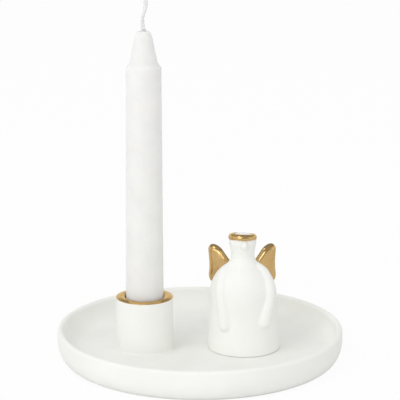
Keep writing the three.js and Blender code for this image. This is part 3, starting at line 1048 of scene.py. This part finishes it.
def wing_rim():
    """A wing's outer edge: the curves of its outline, softened where they meet, moved outwards."""
    low = np.array((WING_ROOT_INSET, NECK_HEIGHT - WING_DROP + WING_EDGE))
    width = ROBE_SHOULDER + WING_REACH - WING_EDGE - WING_ROOT_INSET
    height = WING_RISE + WING_DROP - 2 * WING_EDGE
    spans, start = [], WING_START
    for pull, end in WING_CURVES:
        spans.append(quadratic(start, pull, end, 30)[:-1])
        start = end
    loop = low + np.vstack([*spans, [start], [WING_START]]) * (width, height)
    loop = resampled(loop, 2 * WING_RIM_POINTS + 1)[:-1]
    loop = around(loop.T, WING_RIM_SOFTNESS).T
    tangent = np.roll(loop, -1, 0) - np.roll(loop, 1, 0)
    tangent /= np.linalg.norm(tangent, axis=1)[:, None]
    outer = loop + np.stack([-tangent[:, 1], tangent[:, 0]], 1) * WING_EDGE
    return resampled(np.vstack([outer, outer[:1]]), WING_RIM_POINTS + 1)[:-1]


def wing(side, finish):
    """One wing: pillowed in front, flat behind, a little cupped and swept back from the shoulder."""
    rim = wing_rim()
    count = len(rim)
    middle = np.array(WING_MIDDLE)
    shares = 1.0 - (1.0 - np.linspace(0.0, 1.0, WING_ROWS)) ** WING_ROW_POWER
    shares[0] = WING_POLE_SHARE
    sheet = middle + (rim[None] - middle) * shares[:, None, None]
    closed = np.vstack([rim, rim[:1]])
    inset = distance_to_limb(sheet.reshape(-1, 2), closed, np.zeros(count + 1)).reshape(-1, count)
    inset[-1] = 0.0
    # The band along the rim darkens the gold: partly lustre burnt thin, partly a painted dark reflection
    edge = 1.0 - np.clip(inset / WING_RIM_BAND, 0.0, 1.0)
    inset = around(inset, WING_FACE_SOFTNESS)
    arc = (WING_PILLOW ** 2 + WING_FRONT ** 2) / (2.0 * WING_FRONT)
    short = WING_PILLOW - np.clip(inset, 0.0, WING_PILLOW)
    bulge = WING_FRONT - arc + np.sqrt(arc ** 2 - short ** 2)
    behind = WING_BACK * np.sqrt(1.0 - (1.0 - np.clip(inset / WING_BACK, 0.0, 1.0)) ** 2)
    front = np.stack([sheet[..., 0], -bulge, sheet[..., 1]], -1)
    back = np.stack([sheet[..., 0], behind, sheet[..., 1]], -1)[-2::-1]
    points = np.vstack([front.reshape(-1, 3), back.reshape(-1, 3)])
    thin_and_shade = np.concatenate([edge.ravel(), edge[-2::-1].ravel()])
    points[:, 1] += WING_CUP * (2.0 * points[:, 0] / (ROBE_SHOULDER + WING_REACH) - 1.0) ** 2
    span = (WING_RISE + WING_DROP) / 2
    points[:, 1] += WING_UPRIGHT_CUP * (((points[:, 2] - NECK_HEIGHT - WING_RISE) / span + 1.0) ** 2 - 0.5)
    points[:, 2] += WING_SLIP[side]
    sweep = math.radians(WING_SWEEP)
    x, y = points[:, 0].copy(), points[:, 1].copy()
    points[:, 0] = (x * math.cos(sweep) - y * math.sin(sweep)) * side
    points[:, 1] = x * math.sin(sweep) + y * math.cos(sweep) + WING_SETBACK
    faces = ring_faces(len(points) // count, count)
    last = len(points) - count
    faces += [list(range(count)), list(range(last, last + count))]
    name = "wing_gilding_" + ("right" if side > 0 else "left")
    mesh = mesh_from(name, points, faces, finish)
    mesh.attributes.new("rim", "FLOAT", "POINT").data.foreach_set("value", thin_and_shade.astype(np.float32))
    place_on_figure(mesh)
    return settle(name, mesh)


# Camera, light and ground
def studio():
    """The photograph's camera, soft lamps from above left and in front, a pale room and ground."""
    camera = bpy.data.objects.new("camera", bpy.data.cameras.new("camera"))
    bpy.context.scene.collection.objects.link(camera)
    camera.data.sensor_width = 36.0
    camera.data.lens = CAMERA_LENS
    camera.location = CAMERA_PLACE
    camera.rotation_euler = (math.radians(90.0 - CAMERA_DOWN), 0.0, 0.0)
    camera.data.clip_start, camera.data.clip_end = 0.01, 20.0
    bpy.context.scene.camera = camera

    for name, (place, size, power) in LAMPS.items():
        light = bpy.data.lights.new(name, "AREA")
        light.shape = "RECTANGLE"
        light.size, light.size_y = size
        light.energy = power
        lamp = bpy.data.objects.new(name, light)
        bpy.context.scene.collection.objects.link(lamp)
        lamp.location = place
        aim = Vector(LAMP_TARGET) - Vector(place)
        lamp.rotation_euler = aim.to_track_quat("-Z", "Y").to_euler()

    world = bpy.data.worlds.new("studio")
    bpy.context.scene.world = world
    world.use_nodes = True
    g = Graph(world.node_tree)
    rays = g.node("ShaderNodeLightPath").socket.node
    seen = Wire(g, rays.outputs["Is Camera Ray"])
    glossy = Wire(g, rays.outputs["Is Glossy Ray"])
    sent = g.math("MAXIMUM", glossy, Wire(g, rays.outputs["Is Transmission Ray"]))
    parts = g.node("ShaderNodeSeparateXYZ", None, {"Vector": g.node("ShaderNodeTexCoord")}).socket.node
    x, y, z = (Wire(g, socket) for socket in parts.outputs)
    room = g.spread(x * ROOM_TOWARD[0] + y * ROOM_TOWARD[1], *ROOM_DIM_SPAN, smooth=True)
    dim = g.math("MAXIMUM", room, g.spread(z, *ROOM_DIM_ABOVE, smooth=True))
    strength = ROOM_FILL + (1.0 - ROOM_FILL) * g.math("MAXIMUM", seen, sent) - sent * dim * ROOM_DIMNESS
    background = world.node_tree.nodes["Background"]
    background.inputs["Color"].default_value = (1.0, 1.0, 1.0, 1.0)
    world.node_tree.links.new(strength.socket, background.inputs["Strength"])

    mesh = bpy.data.meshes.new("ground")
    signs = ((-1, -1), (1, -1), (1, 1), (-1, 1))
    square = [(x * GROUND_REACH, y * GROUND_REACH, GROUND_LEVEL) for x, y in signs]
    mesh.from_pydata(square, [], [(0, 1, 2, 3)])
    ground = bpy.data.objects.new("ground", mesh)
    bpy.context.scene.collection.objects.link(ground)
    material = bpy.data.materials.new("pale_ground")
    material.use_nodes = True
    g = Graph(material.node_tree)
    rays = g.node("ShaderNodeLightPath").socket.node
    seen = Wire(g, rays.outputs["Is Camera Ray"])
    matt = material.node_tree.nodes["Principled BSDF"]
    matt.inputs["Base Color"].default_value = (GROUND_SHADE, GROUND_SHADE, GROUND_SHADE, 1.0)
    matt.inputs["Roughness"].default_value = 0.9
    glow = g.node("ShaderNodeEmission", None, {"Strength": 1.0})
    shown = g.node("ShaderNodeMixShader", None, {0: seen * GROUND_GLOW, 1: Wire(g, matt.outputs[0]), 2: glow})
    g.tree.links.new(shown.socket, material.node_tree.nodes["Material Output"].inputs["Surface"])
    mesh.materials.append(material)
    bpy.context.scene.view_settings.view_transform = "Standard"


def dress(piece, body, slot, *nodes):
    """Puts a piece on its body and hides the nodes that it stands for; the slot is not used."""
    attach(piece, body)
    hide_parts(*nodes)


tray_bisque = bisque("tray_bisque", raw_and_shade_below=TRAY_RAW_AND_SHADE_BELOW * MM)
cup_bisque = bisque("cup_bisque")
angel_bisque = bisque("angel_bisque", raw_and_shade_below=ANGEL_RAW_AND_SHADE_BELOW * MM, raw_and_shade_inside=True)
gold = gold_lustre("gold_lustre", (0.2, 1.0, 1.0))
wax = candle_wax("candle_wax")
cotton = wick_cotton("wick_cotton")

studio()
dress(dish(tray_bisque), "holder", "white_ceramic", "tray")
dress(cup(cup_bisque), "holder", "white_ceramic", "candle_cup")
dress(gilded_lip(gold), "holder", "gold_lustre", "cup_gold_rim")
dress(stick(wax), "candle", "candle_wax", "candle_wax")
dress(wick(cotton), "candle", "wick_cotton", "candle_wick")
dress(figure(angel_bisque), "angel", "white_ceramic", "angel_body", "angel_nose", "arm_right", "arm_left")
dress(halo(gold), "angel", "gold_lustre", "halo_ring")
dress(wing(1, gold), "angel", "gold_lustre", "wing_right")
dress(wing(-1, gold), "angel", "gold_lustre", "wing_left")
